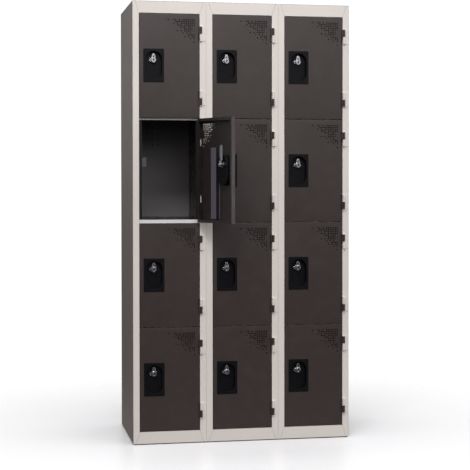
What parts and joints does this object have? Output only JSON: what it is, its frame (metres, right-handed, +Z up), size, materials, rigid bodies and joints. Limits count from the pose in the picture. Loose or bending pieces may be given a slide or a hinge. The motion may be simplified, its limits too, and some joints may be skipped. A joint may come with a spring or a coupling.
{
  "type": "locker cabinet",
  "caption": "Free-standing steel locker cabinet in columns of stacked compartments, with perforated hinged doors, recessed pulls and turning hasp locks, one door open.",
  "frame": {"origin": "middle of the base's footprint, on the floor", "axes": "+Z up, the doors face -Y, +X to the right of somebody facing the doors"},
  "size_m": [0.9, 0.7423, 1.8],
  "materials": {
    "door_paint": "fine-textured powder coat, grey-brown, satin",
    "body_paint": "powder coat, dark grey, satin",
    "frame_paint": "powder coat, warm light grey, satin",
    "black_plastic": "moulded, fine grain",
    "chrome": "bright zinc die casting",
    "steel": "bright zinc-plated"
  },
  "bodies": {
    "root": {"side_panel_left": "body_paint", "side_panel_right": "body_paint", "partitions": "body_paint", "back_panel": "body_paint", "top_panel": "body_paint", "base_panel": "body_paint", "shelves": "body_paint", "cross_rails": "frame_paint", "stop_strips": "body_paint", "front_frames": "frame_paint", "hinge_leaves": "frame_paint", "latch_keepers": "steel"},
    "door_1_1": {"door_1_1": "door_paint", "lock_cup_1_1": "black_plastic", "lock_body_1_1": "chrome"},
    "latch_1_1": {"latch_1_1": "chrome"},
    "door_1_2": {"door_1_2": "door_paint", "lock_cup_1_2": "black_plastic", "lock_body_1_2": "chrome"},
    "latch_1_2": {"latch_1_2": "chrome"},
    "door_1_3": {"door_1_3": "door_paint", "lock_cup_1_3": "black_plastic", "lock_body_1_3": "chrome"},
    "latch_1_3": {"latch_1_3": "chrome"},
    "door_1_4": {"door_1_4": "door_paint", "lock_cup_1_4": "black_plastic", "lock_body_1_4": "chrome"},
    "latch_1_4": {"latch_1_4": "chrome"},
    "door_2_1": {"door_2_1": "door_paint", "lock_cup_2_1": "black_plastic", "lock_body_2_1": "chrome"},
    "latch_2_1": {"latch_2_1": "chrome"},
    "door_2_2": {"door_2_2": "door_paint", "lock_cup_2_2": "black_plastic", "lock_body_2_2": "chrome"},
    "latch_2_2": {"latch_2_2": "chrome"},
    "door_2_3": {"door_2_3": "door_paint", "lock_cup_2_3": "black_plastic", "lock_body_2_3": "chrome"},
    "latch_2_3": {"latch_2_3": "chrome"},
    "door_2_4": {"door_2_4": "door_paint", "lock_cup_2_4": "black_plastic", "lock_body_2_4": "chrome"},
    "latch_2_4": {"latch_2_4": "chrome"},
    "door_3_1": {"door_3_1": "door_paint", "lock_cup_3_1": "black_plastic", "lock_body_3_1": "chrome"},
    "latch_3_1": {"latch_3_1": "chrome"},
    "door_3_2": {"door_3_2": "door_paint", "lock_cup_3_2": "black_plastic", "lock_body_3_2": "chrome"},
    "latch_3_2": {"latch_3_2": "chrome"},
    "door_3_3": {"door_3_3": "door_paint", "lock_cup_3_3": "black_plastic", "lock_body_3_3": "chrome"},
    "latch_3_3": {"latch_3_3": "chrome"},
    "door_3_4": {"door_3_4": "door_paint", "lock_cup_3_4": "black_plastic", "lock_body_3_4": "chrome"},
    "latch_3_4": {"latch_3_4": "chrome"}
  },
  "joints": [
    {"name": "door_swing_1_1", "type": "hinge", "parent": "root", "child": "door_1_1", "pos_m": [-0.1715, -0.2555, 1.5395], "axis": [0, 0, 1], "range_deg": [0, 115]},
    {"name": "latch_turn_1_1", "type": "hinge", "parent": "door_1_1", "child": "latch_1_1", "pos_m": [-0.364, -0.2395, 1.562], "axis": [0, -1, 0], "range_deg": [0, 90]},
    {"name": "door_swing_1_2", "type": "hinge", "parent": "root", "child": "door_1_2", "pos_m": [-0.1715, -0.2555, 1.1145], "axis": [0, 0, 1], "range_deg": [-115, 0]},
    {"name": "latch_turn_1_2", "type": "hinge", "parent": "door_1_2", "child": "latch_1_2", "pos_m": [-0.10465, -0.43673, 1.137], "axis": [0.9063, 0.4226, 0], "range_deg": [0, 90]},
    {"name": "door_swing_1_3", "type": "hinge", "parent": "root", "child": "door_1_3", "pos_m": [-0.1715, -0.2555, 0.6895], "axis": [0, 0, 1], "range_deg": [0, 115]},
    {"name": "latch_turn_1_3", "type": "hinge", "parent": "door_1_3", "child": "latch_1_3", "pos_m": [-0.364, -0.2395, 0.712], "axis": [0, -1, 0], "range_deg": [0, 90]},
    {"name": "door_swing_1_4", "type": "hinge", "parent": "root", "child": "door_1_4", "pos_m": [-0.1715, -0.2555, 0.2645], "axis": [0, 0, 1], "range_deg": [0, 115]},
    {"name": "latch_turn_1_4", "type": "hinge", "parent": "door_1_4", "child": "latch_1_4", "pos_m": [-0.364, -0.2395, 0.287], "axis": [0, -1, 0], "range_deg": [0, 90]},
    {"name": "door_swing_2_1", "type": "hinge", "parent": "root", "child": "door_2_1", "pos_m": [0.1285, -0.2555, 1.5395], "axis": [0, 0, 1], "range_deg": [0, 115]},
    {"name": "latch_turn_2_1", "type": "hinge", "parent": "door_2_1", "child": "latch_2_1", "pos_m": [-0.064, -0.2395, 1.562], "axis": [0, -1, 0], "range_deg": [0, 90]},
    {"name": "door_swing_2_2", "type": "hinge", "parent": "root", "child": "door_2_2", "pos_m": [0.1285, -0.2555, 1.1145], "axis": [0, 0, 1], "range_deg": [0, 115]},
    {"name": "latch_turn_2_2", "type": "hinge", "parent": "door_2_2", "child": "latch_2_2", "pos_m": [-0.064, -0.2395, 1.137], "axis": [0, -1, 0], "range_deg": [0, 90]},
    {"name": "door_swing_2_3", "type": "hinge", "parent": "root", "child": "door_2_3", "pos_m": [0.1285, -0.2555, 0.6895], "axis": [0, 0, 1], "range_deg": [0, 115]},
    {"name": "latch_turn_2_3", "type": "hinge", "parent": "door_2_3", "child": "latch_2_3", "pos_m": [-0.064, -0.2395, 0.712], "axis": [0, -1, 0], "range_deg": [0, 90]},
    {"name": "door_swing_2_4", "type": "hinge", "parent": "root", "child": "door_2_4", "pos_m": [0.1285, -0.2555, 0.2645], "axis": [0, 0, 1], "range_deg": [0, 115]},
    {"name": "latch_turn_2_4", "type": "hinge", "parent": "door_2_4", "child": "latch_2_4", "pos_m": [-0.064, -0.2395, 0.287], "axis": [0, -1, 0], "range_deg": [0, 90]},
    {"name": "door_swing_3_1", "type": "hinge", "parent": "root", "child": "door_3_1", "pos_m": [0.4285, -0.2555, 1.5395], "axis": [0, 0, 1], "range_deg": [0, 115]},
    {"name": "latch_turn_3_1", "type": "hinge", "parent": "door_3_1", "child": "latch_3_1", "pos_m": [0.236, -0.2395, 1.562], "axis": [0, -1, 0], "range_deg": [0, 90]},
    {"name": "door_swing_3_2", "type": "hinge", "parent": "root", "child": "door_3_2", "pos_m": [0.4285, -0.2555, 1.1145], "axis": [0, 0, 1], "range_deg": [0, 115]},
    {"name": "latch_turn_3_2", "type": "hinge", "parent": "door_3_2", "child": "latch_3_2", "pos_m": [0.236, -0.2395, 1.137], "axis": [0, -1, 0], "range_deg": [0, 90]},
    {"name": "door_swing_3_3", "type": "hinge", "parent": "root", "child": "door_3_3", "pos_m": [0.4285, -0.2555, 0.6895], "axis": [0, 0, 1], "range_deg": [0, 115]},
    {"name": "latch_turn_3_3", "type": "hinge", "parent": "door_3_3", "child": "latch_3_3", "pos_m": [0.236, -0.2395, 0.712], "axis": [0, -1, 0], "range_deg": [0, 90]},
    {"name": "door_swing_3_4", "type": "hinge", "parent": "root", "child": "door_3_4", "pos_m": [0.4285, -0.2555, 0.2645], "axis": [0, 0, 1], "range_deg": [0, 115]},
    {"name": "latch_turn_3_4", "type": "hinge", "parent": "door_3_4", "child": "latch_3_4", "pos_m": [0.236, -0.2395, 0.287], "axis": [0, -1, 0], "range_deg": [0, 90]}
  ]
}
